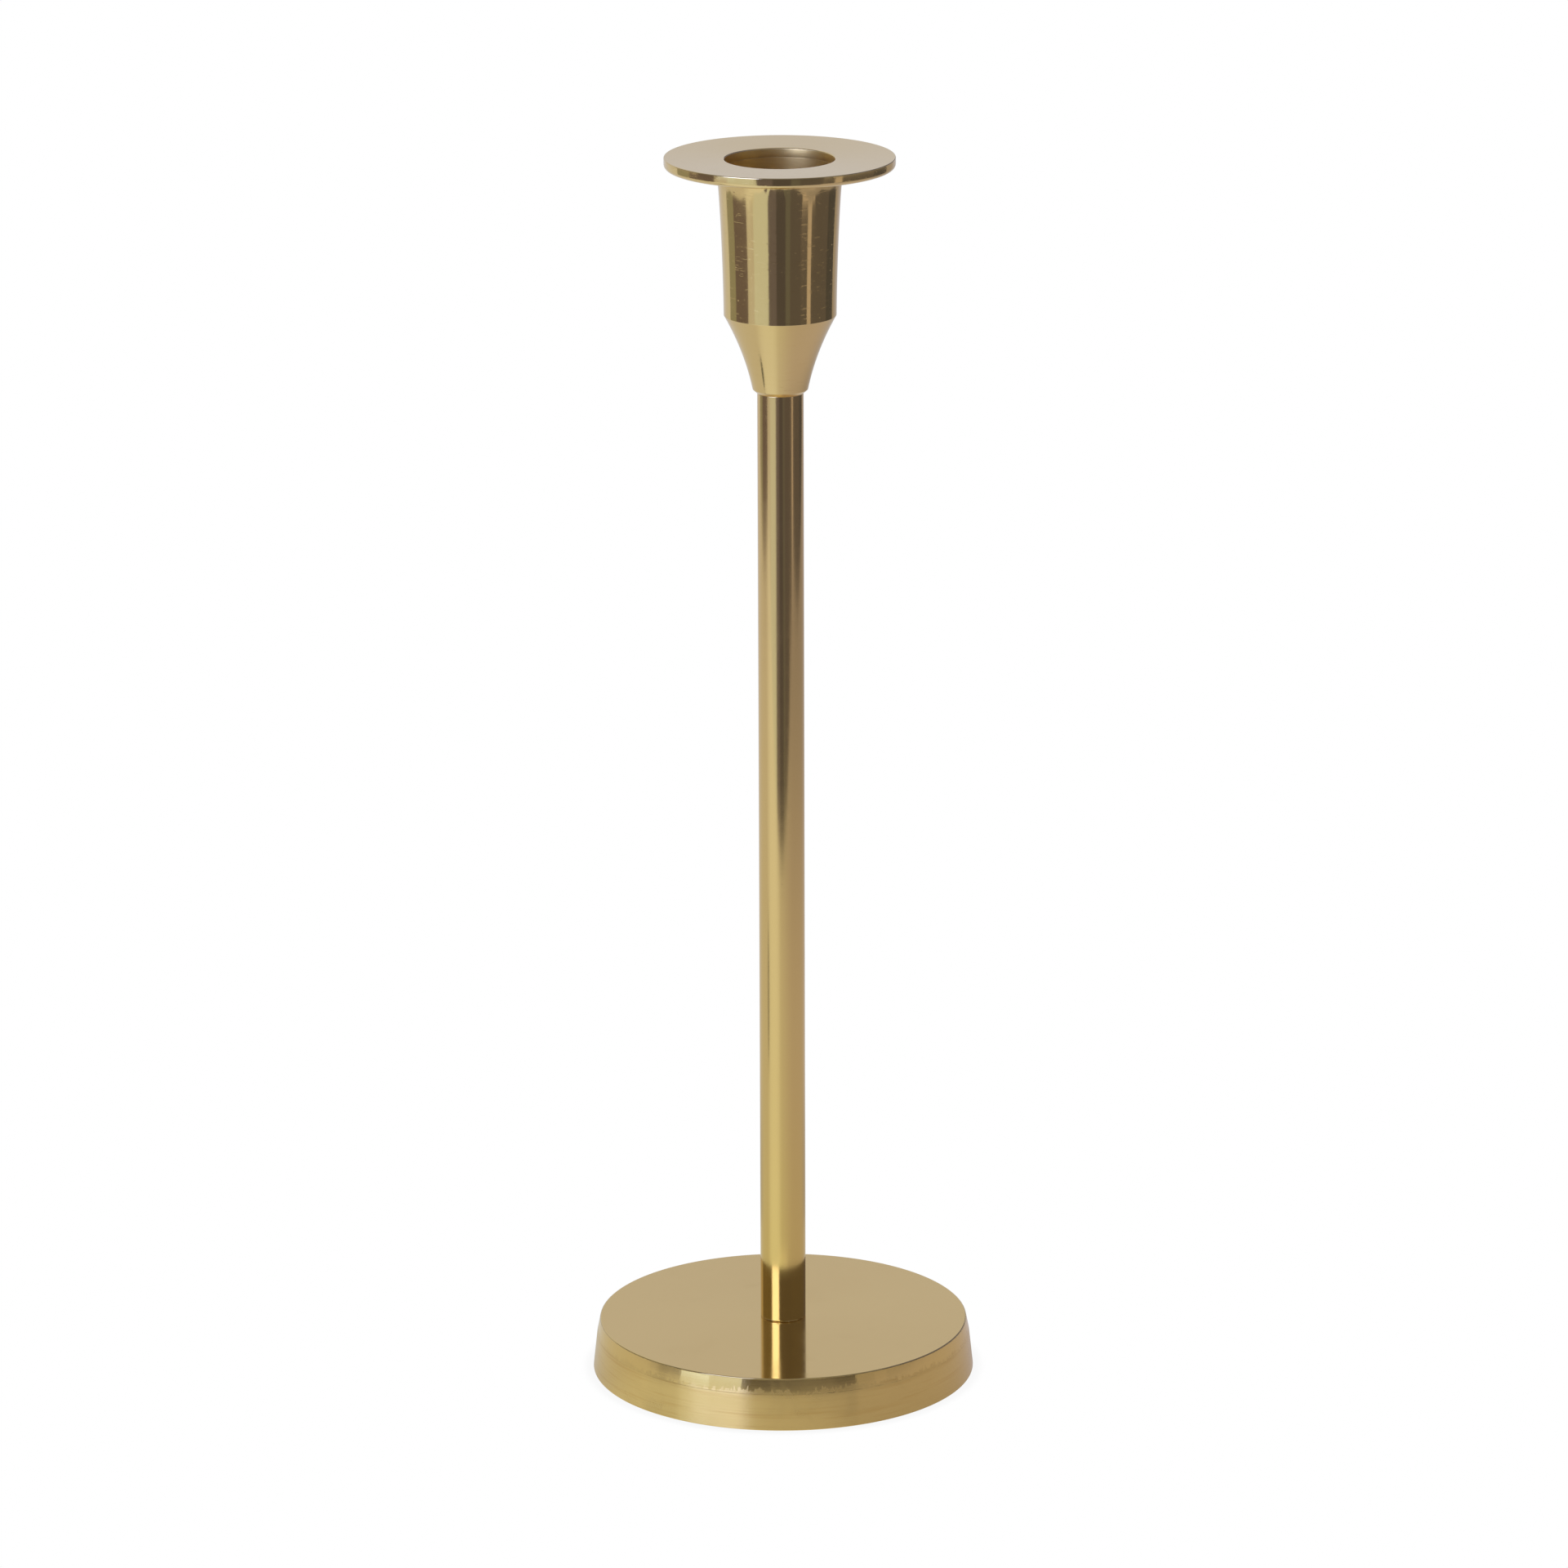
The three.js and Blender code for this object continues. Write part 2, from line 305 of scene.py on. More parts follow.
def makeBrass(name):
    finish = brassFinishes[name]
    material, tree, shader = startMaterial(name)
    place = addNode(tree, "ShaderNodeTexCoord").outputs["Object"]
    edge = addNode(tree, "ShaderNodeAttribute", attribute_name="edge").outputs["Fac"]
    rings = useGroup(tree, turnedRings, {
        "Place": place, "Pitch": finish["ringPitch"], "Reach": finish["ringReach"],
    })
    hand = useGroup(tree, handFinish, {"Place": place, "Wave": finish["wave"]})
    flattened = addNode(tree, "ShaderNodeVectorMath", {0: place, 1: (1.0, 1.0, finish["pitSquash"])},
                        operation="MULTIPLY").outputs[0]
    nicks = useGroup(tree, pits, {
        "Place": flattened, "Spacing": finish["pitSpacing"], "Share": finish["pitShare"],
    })

    height = addNode(tree, "ShaderNodeSeparateXYZ", {0: place}).outputs[2]
    brushed = "brushed" in finish
    if brushed:
        share = brushedShare(tree, place, finish["brushedBelow"])
    tone = finish["tone"]
    # painted light: the stem is painted bluer higher up, standing in for the cooler light it reflects there
    if "coolerLightAbove" in finish:
        low, high = finish["coolerLightHeights"]
        risen = addNode(tree, "ShaderNodeMapRange", {"Value": height, "From Min": low, "From Max": high})
        tone = mixColor(tree, risen.outputs[0], tone, finish["coolerLightAbove"])
    tone = mixColor(tree, calc(tree, "MULTIPLY", hand["Cloud"], 0.35), tone, finish["aged"])
    tone = mixColor(tree, calc(tree, "MULTIPLY", edge, 0.5), tone, finish["worn"])
    if finish["streakTone"]:
        streak = addNode(tree, "ShaderNodeMapRange", {
            "Value": rings["Height"], "From Min": 0.75, "From Max": 1.00, "To Max": finish["streakTone"],
        }).outputs[0]
        if brushed:
            streak = calc(tree, "MULTIPLY", streak, share)
        tone = mixColor(tree, streak, tone, finish["aged"])
    tree.links.new(tone, shader.inputs["Base Color"])
    shader.inputs["Metallic"].default_value = 1.0
    rough = calc(tree, "MULTIPLY_ADD", hand["Smudge"], finish["smudge"], finish["roughness"])
    if brushed:
        rough = calc(tree, "MULTIPLY_ADD", share, finish["brushed"] - finish["roughness"], rough)
    rough = calc(tree, "MULTIPLY_ADD", rings["Streak"], 0.04, calc(tree, "SUBTRACT", rough, 0.02))
    tree.links.new(rough, shader.inputs["Roughness"])

    normal = bump(tree, hand["Height"], finish["waveDepth"])
    normal = bump(tree, rings["Height"], finish["ringDepth"], normal)
    if finish["scoreDepth"]:
        normal = bump(tree, rings["Score"], finish["scoreDepth"], normal)
    if finish["lineDepth"]:
        lines = useGroup(tree, drawnLines, {"Place": place})
        normal = bump(tree, lines["Height"], finish["lineDepth"], normal)
    if brushed:
        # upright strokes on the polished crown, between the brushed side and the flat top
        strokes = useGroup(tree, drawnLines, {
            "Place": place, "Pitch": finish["crownPitch"], "Reach": finish["crownReach"],
        })
        crown = calc(tree, "SUBTRACT", calc(tree, "LESS_THAN", height, finish["crownTop"]), share)
        relief = calc(tree, "MULTIPLY", strokes["Height"], crown)
        normal = bump(tree, relief, finish["crownDepth"], normal)
    normal = bump(tree, nicks["Height"], finish["pitDepth"], normal)
    tree.links.new(normal, shader.inputs["Normal"])

    # reflections spread across the lay of the finish: round the axis, or along it on the stem
    shader.inputs["Anisotropic"].default_value = finish["anisotropic"]
    shader.inputs["Anisotropic Rotation"].default_value = finish["lay"]
    tangent = addNode(tree, "ShaderNodeTangent", direction_type="RADIAL", axis="Z")
    tree.links.new(tangent.outputs[0], shader.inputs["Tangent"])
    return material


steelFinish = {
    "tone": (0.60, 0.61, 0.63, 1), "tint": (0.66, 0.62, 0.50, 1), "clouding": 0.8,
    "roughness": 0.3, "ringDepth": 0.003 * mm, "pitDepth": 0.02 * mm,
}


def makeSteel():
    material, tree, shader = startMaterial("zincSteel")
    place = addNode(tree, "ShaderNodeTexCoord").outputs["Object"]
    hand = useGroup(tree, handFinish, {"Place": place, "Cloud": 6 * mm, "Wave": 2 * mm})
    rings = useGroup(tree, turnedRings, {"Place": place, "Pitch": 0.2 * mm, "Reach": 4 * mm})
    nicks = useGroup(tree, pits, {"Place": place, "Spacing": 0.8 * mm, "Share": 0.25})
    cloud = calc(tree, "MULTIPLY", hand["Cloud"], steelFinish["clouding"])
    tone = mixColor(tree, cloud, steelFinish["tone"], steelFinish["tint"])
    tree.links.new(tone, shader.inputs["Base Color"])
    shader.inputs["Metallic"].default_value = 1.0
    rough = calc(tree, "MULTIPLY_ADD", hand["Smudge"], 0.12, steelFinish["roughness"])
    tree.links.new(rough, shader.inputs["Roughness"])
    normal = bump(tree, rings["Height"], steelFinish["ringDepth"])
    normal = bump(tree, nicks["Height"], steelFinish["pitDepth"], normal)
    tree.links.new(normal, shader.inputs["Normal"])
    return material


feltFinish = {
    "tone": (0.016, 0.034, 0.022, 1), "lint": (0.075, 0.105, 0.080, 1),
    "fibre": 0.35 * mm, "depth": 0.12 * mm,
}


def makeFelt():
    material, tree, shader = startMaterial("greenFelt")
    place = addNode(tree, "ShaderNodeTexCoord").outputs["Object"]
    fibres = addNode(tree, "ShaderNodeTexNoise", {
        "Vector": place, "Scale": 1 / feltFinish["fibre"],
        "Detail": 5.0, "Roughness": 0.7, "Distortion": 1.5,
    })
    hand = useGroup(tree, handFinish, {"Place": place, "Cloud": 12 * mm})
    fluff = addNode(tree, "ShaderNodeMapRange", {
        "Value": fibres.outputs[0], "From Min": 0.48, "From Max": 0.75,
    }).outputs[0]
    linty = calc(tree, "MULTIPLY", fluff, hand["Cloud"])
    tone = mixColor(tree, linty, feltFinish["tone"], feltFinish["lint"])
    tree.links.new(tone, shader.inputs["Base Color"])
    shader.inputs["Roughness"].default_value = 0.95
    shader.inputs["Sheen Weight"].default_value = 0.4
    shader.inputs["Sheen Roughness"].default_value = 0.6
    tree.links.new(bump(tree, fibres.outputs[0], feltFinish["depth"]), shader.inputs["Normal"])
    return material


brass = {name: makeBrass(name) for name in brassFinishes}
steel = makeSteel()
felt = makeFelt()
print("materials made")


# outlines

wornBelow = 1.0 * mm      # only roundings smaller than this wear bright


# Each corner is (radius, height, rounding, hollow). Rounding is the radius of the
# corner's arc. Hollow is how far the stretch that leads to the corner bows towards the axis.
def drawOutline(corners, arcSteps=6, bowSteps=24):
    drawn = []          # (place, rounding) with the bowed stretches laid out
    for index, corner in enumerate(corners):
        radius, height, rounding, hollow = (tuple(corner) + (0.0, 0.0))[:4]
        place = Vector((radius, height))
        if hollow:
            start = Vector(corners[index - 1][:2])
            for step in range(1, bowSteps):
                share = step / bowSteps
                along = start.lerp(place, share)
                drawn.append((along - Vector((4 * hollow * share * (1 - share), 0)), 0.0))
        drawn.append((place, rounding))
    outline = []        # (place, edge) with the corners rounded
    for index, (place, rounding) in enumerate(drawn):
        if not rounding:
            outline.append((place, 0.0))
            continue
        back = (drawn[index - 1][0] - place).normalized()
        ahead = (drawn[(index + 1) % len(drawn)][0] - place).normalized()
        half = back.angle(ahead) / 2
        centre = place + (back + ahead).normalized() * (rounding / math.sin(half))
        start = place + back * (rounding / math.tan(half)) - centre
        end = place + ahead * (rounding / math.tan(half)) - centre
        sweep = start.angle_signed(end)
        for step in range(arcSteps + 1):
            turn = Matrix.Rotation(-sweep * step / arcSteps, 2)
            edge = math.sin(math.pi * step / arcSteps) if rounding < wornBelow else 0.0
            outline.append((centre + turn @ start, edge))
    return outline


# Turns a closed outline round the Z axis. wobble(place, angle) may shift a point a little.
def turnPiece(name, outline, segments, wobble=None):
    mesh = bmesh.new()
    edgeLayer = mesh.verts.layers.float.new("edge")
    rings = []
    for segment in range(segments):
        angle = 2 * math.pi * segment / segments
        ring = []
        for place, edge in outline:
            spot = place if wobble is None else wobble(place, angle)
            made = mesh.verts.new((spot.x * math.cos(angle), spot.x * math.sin(angle), spot.y))
            made[edgeLayer] = edge
            ring.append(made)
        rings.append(ring)
    count = len(outline)
    for segment in range(segments):
        here, there = rings[segment], rings[(segment + 1) % segments]
        for index in range(count):
            ahead = (index + 1) % count
            mesh.faces.new((here[index], there[index], there[ahead], here[ahead]))
    return finishMesh(name, mesh)


def finishMesh(name, mesh, smooth=True):
    bmesh.ops.remove_doubles(mesh, verts=mesh.verts, dist=1e-7)
    bmesh.ops.recalc_face_normals(mesh, faces=mesh.faces)
    for face in mesh.faces:
        face.smooth = smooth
    data = bpy.data.meshes.new(name)
    mesh.to_mesh(data)
    mesh.free()
    piece = bpy.data.objects.new(name, data)
    bpy.context.scene.collection.objects.link(piece)
    return piece


# Flat faces keep their own shading, and the small roundings carry the bend
def evenShading(piece):
    shading = piece.modifiers.new("evenShading", "WEIGHTED_NORMAL")
    shading.weight = 80
    shading.thresh = 0.002


def handOver(piece, material, node):
    piece.data.materials.append(material)
    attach(piece, "root")
    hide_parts(node)


# base

baseShape = {
    "segments": 320,
    "recessRadius": 30 * mm,
    "recessCeiling": washerHigh.z,
    "recessFillet": 2.2 * mm,
    "webBoss": 9.5 * mm,          # the spot-faced seat of the washer
    "bossHeight": 0.25 * mm,
    "rodHole": 2.75 * mm,
    "feltSeat": feltHigh.z,
    "feltEdge": feltHigh.x + 0.3 * mm,
    "draft": math.radians(6.3),
    "crownStart": 7.55 * mm,
    "crownTurn": 20.0 * mm,       # rounding between the side and the crown
    "shoulder": 38.72 * mm,
    "shoulderHollow": -0.02 * mm,  # the crown bulges
    "topEdge": 0.30 * mm,
    "rimEdge": 0.20 * mm,
    "spigot": 3.45 * mm,
}


def makeBase():
    shape = baseShape
    rim = baseLow.z
    foot = baseHigh.x
    top = stemLow.z
    ceiling = shape["recessCeiling"]
    crownRadius = foot - (shape["crownStart"] - rim) * math.tan(shape["draft"])
    outline = drawOutline([
        (shape["rodHole"], ceiling, 0.15 * mm),
        (shape["webBoss"], ceiling, 0.08 * mm),
        (shape["webBoss"] + shape["bossHeight"], ceiling + shape["bossHeight"], 0.1 * mm),
        (shape["recessRadius"], ceiling + shape["bossHeight"], shape["recessFillet"]),
        (shape["recessRadius"], shape["feltSeat"], 0.1 * mm),
        (shape["feltEdge"], shape["feltSeat"], 0.1 * mm),
        (shape["feltEdge"], rim, 0.1 * mm),
        (foot, rim, shape["rimEdge"]),
        (crownRadius, shape["crownStart"], shape["crownTurn"]),
        (shape["shoulder"], top, shape["topEdge"], shape["shoulderHollow"]),
        (shape["spigot"], top, 0.08 * mm),
        (shape["spigot"], baseHigh.z, 0.3 * mm),
        (shape["rodHole"], baseHigh.z, 0.15 * mm),
    ])
    piece = turnPiece("turned_base", outline, shape["segments"])
    evenShading(piece)
    handOver(piece, brass["baseBrass"], "base")


makeBase()
print("base made")


# stem

stemShape = {
    "segments": 160,
    "wall": 1.0 * mm,
    "endEdge": 0.16 * mm,
    "chipDepth": 0.14 * mm,
    "chipHeight": 0.55 * mm,
}


# The stem's foot edge is nicked a little all round where it was pressed on the base
def nickFoot(place, angle):
    shape = stemShape
    lift = (place.y - stemLow.z) / shape["chipHeight"]
    if lift > 1 or place.x < stemHigh.x - 2 * shape["endEdge"]:
        return place
    coarse = noise.noise(Vector((math.cos(angle) * 4, math.sin(angle) * 4, 1.7)))
    fine = noise.noise(Vector((math.cos(angle) * 17, math.sin(angle) * 17, 5.1)))
    depth = max(0.0, coarse + 0.6 * fine - 0.1) * (1 - lift) * shape["chipDepth"]
    return place - Vector((depth, 0))


def makeStem():
    shape = stemShape
    outer, bore = stemHigh.x, stemHigh.x - shape["wall"]
    foot, top = stemLow.z, stemHigh.z
    corners = [(bore, foot, 0.08 * mm), (outer, foot, shape["endEdge"])]
    corners += [(outer, foot + shape["chipHeight"] * step / 4, 0.0) for step in (1, 2, 3, 4)]
    corners += [(outer, foot + (top - foot) * step / 16, 0.0) for step in range(1, 16)]
    corners += [(outer, top, shape["endEdge"]), (bore, top, 0.08 * mm)]
    piece = turnPiece("stem", drawOutline(corners), shape["segments"], nickFoot)
    evenShading(piece)
    handOver(piece, brass["stemBrass"], "stem_tube")


makeStem()
print("stem made")


# candle cup

cupShape = {
    "segments": 256,
    "barrelFoot": 227.4 * mm,
    "barrelFootRadius": 11.52 * mm,
    "barrelHollow": 0.235 * mm,
    "shoulderEdge": 0.18 * mm,
    "coneFoot": 211.9 * mm,
    "coneFootRadius": 5.7 * mm,
    "coneHollow": 0.67 * mm,
    "footRadius": 4.95 * mm,
    "mouthRadius": 11.16 * mm,
    "floorRadius": 10.0 * mm,
    "floorHeight": 232 * mm,
    "brazeRadius": 0.5 * mm,      # the braze fills the corner under the drip plate
    "flareReach": 1.2 * mm,       # how fast its run-out down the barrel fades
    "flareEnd": 8 * mm,
    "flareDepth": 0.75 * mm,
    "flareUneven": 0.4,
    "flareWander": (12, 400),     # how fast the unevenness changes round the barrel and down it
    "flareSpots": [               # angle and width in degrees, and depth, where more braze ran down
        (228, 14, 0.55 * mm), (300, 7, 0.60 * mm), (322, 8, 0.20 * mm),
        (25, 18, 0.35 * mm), (95, 12, 0.45 * mm), (160, 20, 0.35 * mm),
    ],
    "spigot": 3.45 * mm,
    "tap": 2.5 * mm,
    "tapEnd": 227 * mm,
}


# The barrel runs out under the plate in a hand-finished flare that is deeper in some places
def flareBarrel(place, angle):
    shape = cupShape
    drop = cupHigh.z - place.y
    if place.x < shape["mouthRadius"] + 0.3 * mm or drop > shape["flareEnd"]:
        return place
    depth = shape["flareDepth"]
    for spot, width, extra in shape["flareSpots"]:
        turn = (math.degrees(angle) - spot + 180) % 360 - 180
        depth += extra * math.exp(-(turn / width) ** 2)
    turns, rate = shape["flareWander"]
    wander = noise.noise(Vector((math.cos(angle) * turns, math.sin(angle) * turns, place.y * rate)))
    depth *= 1 + shape["flareUneven"] * wander
    return place + Vector((depth * math.exp(-drop / shape["flareReach"]), 0))


def makeCup():
    shape = cupShape
    foot, top = stemHigh.z, cupHigh.z
    braze = shape["brazeRadius"]
    outline = drawOutline([
        (0.0, shape["tapEnd"]),
        (shape["tap"], shape["tapEnd"] - shape["tap"] * 0.5),
        (shape["tap"], cupLow.z, 0.15 * mm),
        (shape["spigot"], cupLow.z, 0.25 * mm),
        (shape["spigot"], foot, 0.08 * mm),
        (shape["footRadius"], foot, 0.12 * mm),
        (shape["coneFootRadius"], shape["coneFoot"], 0.16 * mm),
        (shape["barrelFootRadius"], shape["barrelFoot"], shape["shoulderEdge"], shape["coneHollow"]),
        (cupHigh.x, top - 0.02 * mm, braze, shape["barrelHollow"]),
        (cupHigh.x + 1.2 * mm, top - 0.02 * mm, 0.0),
        (cupHigh.x + 1.2 * mm, top, 0.0),
        (shape["mouthRadius"], top, 0.06 * mm),
        (shape["floorRadius"], shape["floorHeight"], 0.6 * mm),
        (0.0, shape["floorHeight"]),
    ], bowSteps=72)
    piece = turnPiece("candle_socket", outline, shape["segments"], flareBarrel)
    evenShading(piece)
    handOver(piece, brass["cupBrass"], "candle_cup")
    piece.data.materials.append(brass["socketBrass"])
    for face in piece.data.polygons:
        middle = face.center
        out = math.hypot(middle.x, middle.y)
        if middle.z > shape["floorHeight"] - 0.1 * mm and out < shape["mouthRadius"] + 0.05 * mm:
            face.material_index = 1


makeCup()
print("cup made")


# drip plate

plateShape = {
    "segments": 320,
    "mouthRadius": 11.16 * mm,
    "dish": 0.4 * mm,
    "rimEdge": 0.20 * mm,
    "rimFoot": 0.90 * mm,
    "mouthEdge": 0.30 * mm,
    "boreTaper": 0.08 * mm,       # the bore goes on with the socket's taper
    "boreEdge": 0.06 * mm,
}


def makePlate():
    shape = plateShape
    rim, top, underside = plateHigh.x, plateHigh.z, plateLow.z
    outline = drawOutline([
        (shape["mouthRadius"], underside, shape["boreEdge"]),
        (rim, underside, shape["rimFoot"]),
        (rim, top, shape["rimEdge"]),
        (shape["mouthRadius"] + shape["boreTaper"], top - shape["dish"], shape["mouthEdge"]),
    ])
    piece = turnPiece("dished_plate", outline, shape["segments"])
    evenShading(piece)
    handOver(piece, brass["cupBrass"], "drip_plate")
    piece.data.materials.append(brass["socketBrass"])
    for face in piece.data.polygons:
        if math.hypot(face.center.x, face.center.y) < shape["mouthRadius"] + 0.12 * mm:
            face.material_index = 1


makePlate()
print("plate made")


# felt ring

feltShape = {"segments": 360, "fuzz": 0.05 * mm, "edge": 0.3 * mm}


def makeFeltRing():
    shape = feltShape
    inner = baseShape["recessRadius"] + 0.3 * mm
    outer, bottom, top = feltHigh.x, feltLow.z, feltHigh.z
    across = 16
    corners = [(inner, top), (inner, bottom, shape["edge"])]
    corners += [(inner + (outer - inner) * step / across, bottom, 0.0) for step in range(1, across)]
    corners += [(outer, bottom, shape["edge"]), (outer, top)]

    def fuzz(place, angle):
        if place.y > top - 0.1 * mm:
            return place
        spot = Vector((place.x * math.cos(angle), place.x * math.sin(angle), place.y)) / (0.9 * mm)
        rise = (noise.noise(spot) * 0.5 + 0.5) * shape["fuzz"]
        return place + Vector((0, rise))

    outline = drawOutline(corners)
    outline.reverse()
    piece = turnPiece("felt_foot", outline, shape["segments"], fuzz)
    handOver(piece, felt, "felt_ring")


makeFeltRing()
print("felt made")


# rod and its hardware

threadShape = {
    "pitch": 0.8 * mm, "crest": 2.48 * mm, "root": 2.05 * mm, "segments": 48, "steps": 8,
    "lowLength": 16 * mm, "highLength": 17 * mm,
    "runOut": 1.5 * mm,           # where the cut fades into the shank
    "lead": 0.9 * mm,             # the chamfered start at each end
    "tip": 1.75 * mm,
}


# Radius of a V thread with flattened crests and roots
def threadRadius(height, angle):
    shape = threadShape
    phase = (height / shape["pitch"] - angle / (2 * math.pi)) % 1.0
    rise = abs(2 * phase - 1) * 1.35 - 0.17
    return shape["root"] + (shape["crest"] - shape["root"]) * min(1.0, max(0.0, rise))


def makeRod():
    shape = threadShape
    lowThread, highThread, tip = shape["lowLength"], shape["highLength"], shape["tip"]
    bottom, top = rodLow.z, rodHigh.z
    shank = rodHigh.x
    step = shape["pitch"] / shape["steps"]
    heights = [bottom + 0.35 * mm + step * index for index in range(int(lowThread / step))]
    heights += [top - highThread + step * index for index in range(int((highThread - 0.5 * mm) / step))]
    corners = [(0.0, bottom), (tip, bottom, 0.1 * mm)]
    corners += [(shank, height, 0.0) for height in heights]
    corners += [(tip, top, 0.1 * mm), (0.0, top)]

    def cutThread(place, angle):
        fromEnd = min(place.y - bottom, top - place.y)
        threadEnd = lowThread if place.y < (bottom + top) / 2 else highThread
        if place.x < shank - 0.05 * mm:
            return place
        runOut = min(1.0, max(0.0, (threadEnd - fromEnd) / shape["runOut"]))
        lead = min(1.0, fromEnd / shape["lead"])
        cut = threadRadius(place.y, angle)
        radius = shank + (cut - shank) * runOut
        return Vector((min(radius, tip + lead * 0.75 * mm), place.y))

    piece = turnPiece("threaded_rod", drawOutline(corners), shape["segments"], cutThread)
    handOver(piece, steel, "tie_rod")


nutShape = {
    "segments": 144,
    "bore": 2.55 * mm,
    "mouth": 2.75 * mm,           # the bore is countersunk at both ends
    "countersink": 0.35 * mm,
    "chamferStart": 0.955,
    "chamfer": math.radians(28),
    "sideRows": 10,
}


def makeNut():
    shape = nutShape
    half = nutHigh.y
    bottom, top = nutLow.z, nutHigh.z
    start = half * shape["chamferStart"]
    corner = nutHigh.x
    bore, mouth, sink, rows = shape["bore"], shape["mouth"], shape["countersink"], shape["sideRows"]
    corners = [(bore, bottom + sink), (mouth, bottom), (start, bottom)]
    corners += [(corner, bottom + (top - bottom) * row / rows) for row in range(rows + 1)]
    corners += [(start, top), (mouth, top), (bore, top - sink)]

    # the hexagon's flats, cut back by the chamfer cone at both ends
    def cutHexagon(place, angle):
        if place.x < corner - 1e-6:
            return place
        inSide = (angle + math.pi / 6) % (math.pi / 3) - math.pi / 6
        reach = half / math.cos(math.pi / 6 - abs(inSide))
        trim = max(0.0, reach - start) * math.tan(shape["chamfer"])
        height = min(max(place.y, bottom + trim), top - trim)
        return Vector((reach, height))

    piece = turnPiece("hexagon_nut", drawOutline(corners), shape["segments"], cutHexagon)
    sharpen(piece, math.radians(25))
    handOver(piece, steel, "hex_nut")


def sharpen(piece, angle):
    mesh = bmesh.new()
    mesh.from_mesh(piece.data)
    for edge in mesh.edges:
        if len(edge.link_faces) == 2 and edge.calc_face_angle() > angle:
            edge.smooth = False
    mesh.to_mesh(piece.data)
    mesh.free()


def makeFlatWasher():
    bottom, top, outer, bore = washerLow.z, washerHigh.z, washerHigh.x, 2.65 * mm
    outline = drawOutline([
        (bore, bottom, 0.1 * mm),
        (outer, bottom, 0.28 * mm),
        (outer, top, 0.05 * mm),
        (bore, top, 0.05 * mm),
    ])
    piece = turnPiece("plain_washer", outline, 128)
    evenShading(piece)
    handOver(piece, steel, "flat_washer")


lockShape = {"steps": 96, "bore": 2.55 * mm, "split": 0.9 * mm, "bevel": 0.12 * mm}


# A square wire bent once round, with a split at +X
def makeLockWasher():
    shape = lockShape
    outer, bore, bevel = lockHigh.y, shape["bore"], shape["bevel"]
    bottom, top = lockLow.z, lockHigh.z
    section = [
        (bore + bevel, bottom), (outer - bevel, bottom), (outer, bottom + bevel), (outer, top - bevel),
        (outer - bevel, top), (bore + bevel, top), (bore, top - bevel), (bore, bottom + bevel),
    ]
    mesh = bmesh.new()
    edgeLayer = mesh.verts.layers.float.new("edge")
    rings = []
    for step in range(shape["steps"] + 1):
        ring = []
        for radius, height in section:
            half = math.asin(shape["split"] / 2 / radius)
            angle = half + (2 * math.pi - 2 * half) * step / shape["steps"]
            made = mesh.verts.new((radius * math.cos(angle), radius * math.sin(angle), height))
            made[edgeLayer] = 0.5
            ring.append(made)
        rings.append(ring)
    for here, there in zip(rings, rings[1:]):
        for index in range(len(section)):
            ahead = (index + 1) % len(section)
            mesh.faces.new((here[index], there[index], there[ahead], here[ahead]))
    mesh.faces.new(rings[0])
    mesh.faces.new(reversed(rings[-1]))
    piece = finishMesh("spring_washer", mesh)
    sharpen(piece, math.radians(25))
    handOver(piece, steel, "lock_washer")


makeRod()
makeNut()
makeFlatWasher()
makeLockWasher()
print("rod and hardware made")


# studio: a white table and a white surround, with panels that only show in the metal

studio = {
    "contact": (0.0402, 0.0435, 0.94),    # the floor's faint shadow: from, to, and tone at its inner edge
    "tableLeft": (0.700, 0.700, 0.705),
    "tableRight": (0.585, 0.540, 0.590),
    "tableNearBlue": 0.97,
    "tableFarBlue": 1.06,
    "rightFalloff": 0.66,
    "frontGlow": 0.27,
    "backShade": 0.17,
    # a painted shadow that the candlestick casts on the table, off to the left
    "castShadow": ((-0.262, -0.081, 0.0), (0.065, 0.021), 0.78),   # place, half sizes, strength
    "tableBox": (-0.72, -0.398, 0.66, 1.75),
    "sheenAzimuth": math.radians(-42),
    "sheenGlow": (0.20, 0.24, 0.28),
    "roomBelow": (0.135, 0.125, 0.155),
    "roomAbove": (0.172, 0.178, 0.30),
    "ceiling": (1.3, 2.0, (0.30, 0.30, 0.33)),        # radius, height, glow
    "keyLight": ((-0.7, -0.6, 1.5), 1.2, 16.0),       # place, size, power
    "fillLight": ((1.05, 0.45, 0.98), 0.3, 8.0),
}

# what hangs round the candlestick, in rows one above the other: radius and heights in metres
panelRows = {
    "deep": (1.40, (-0.8, -0.213)),
    "low": (1.40, (-0.213, 0.012)),
    "rim": (1.45, (0.004, 0.30)),
    "high": (1.50, (0.30, 1.9)),
}

